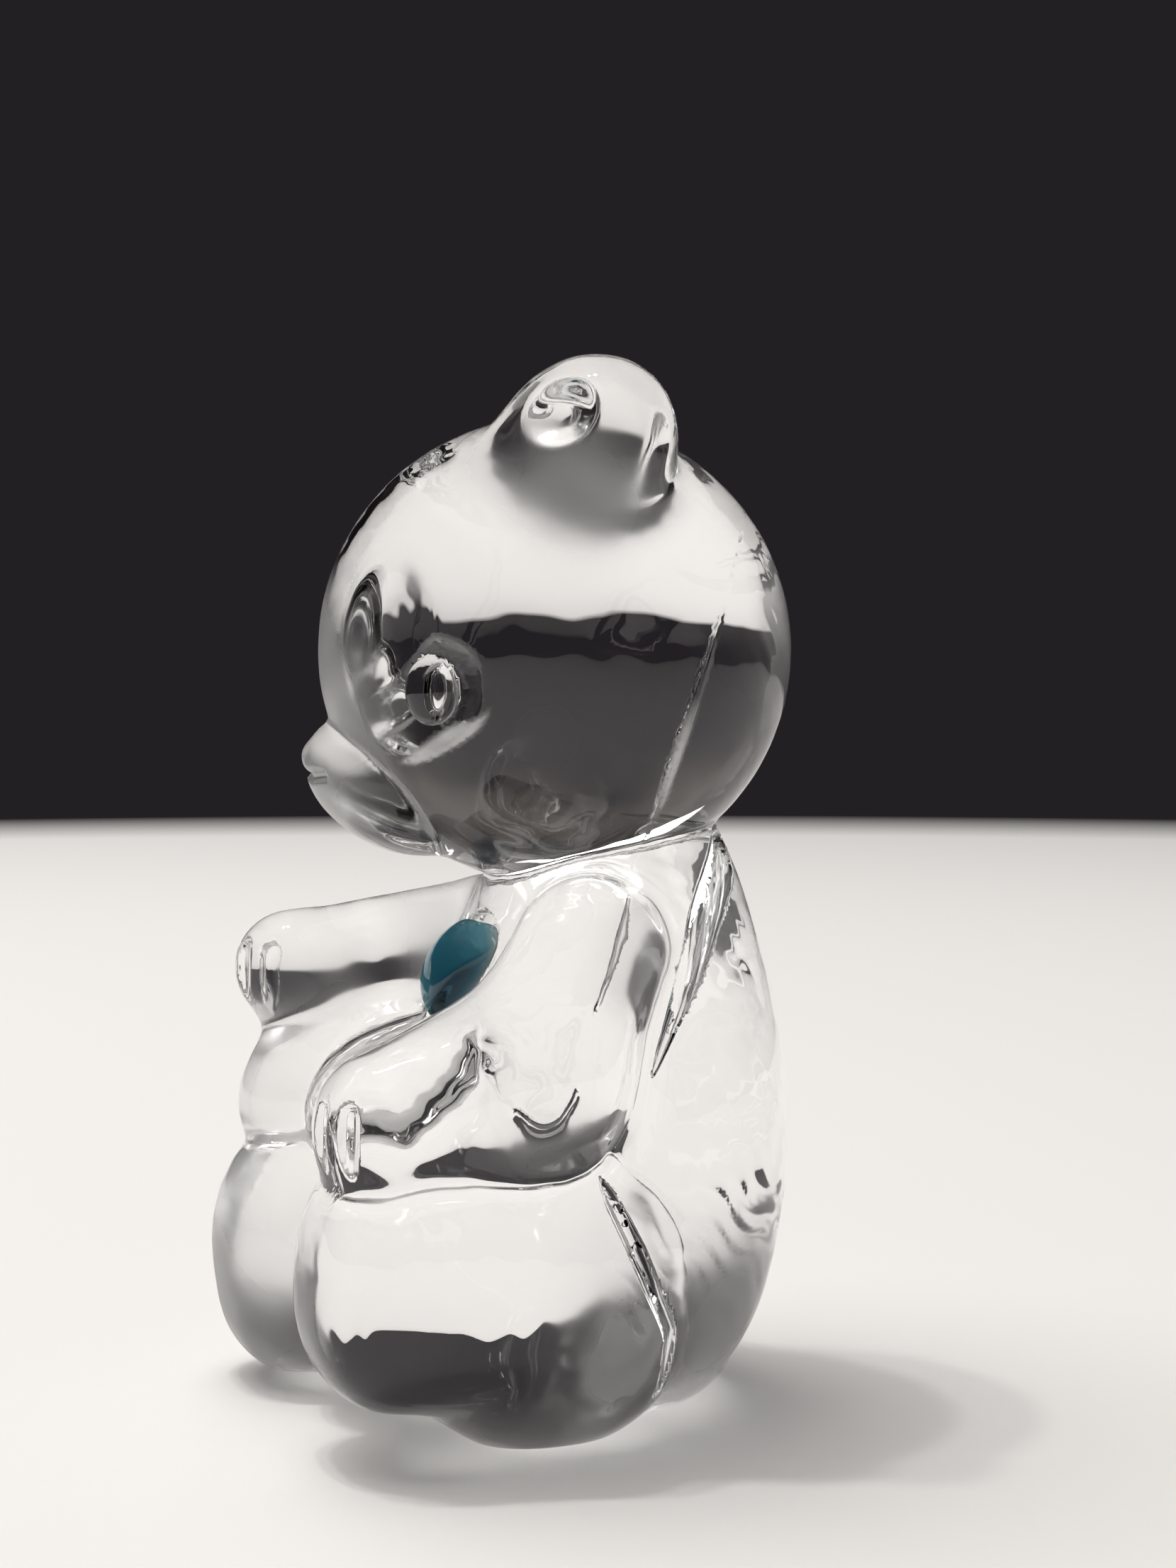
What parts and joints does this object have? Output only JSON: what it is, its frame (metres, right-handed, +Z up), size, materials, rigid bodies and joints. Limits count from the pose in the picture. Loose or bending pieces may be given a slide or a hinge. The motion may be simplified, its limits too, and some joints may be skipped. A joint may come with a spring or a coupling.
{
  "type": "glass bear figurine",
  "caption": "Seated bear figurine pressed in clear crystal glass, head turned aside, with a coloured glass heart bonded to its chest.",
  "frame": {"origin": "middle of the ground flat base, on the body's middle plane, where the figurine meets the table", "axes": "+Z up, -Y the way the body faces, +X the bear's left; the head is turned towards -X"},
  "size_m": [0.0463, 0.0472, 0.0901],
  "materials": {
    "crystal": "fire-polished, clear",
    "teal_glass": "polished, transparent blue-green",
    "adhesive": "clear cured film"
  },
  "bodies": {
    "root": {"bear_body": "crystal", "heart_cabochon": "teal_glass", "heart_adhesive": "adhesive"}
  },
  "joints": []
}
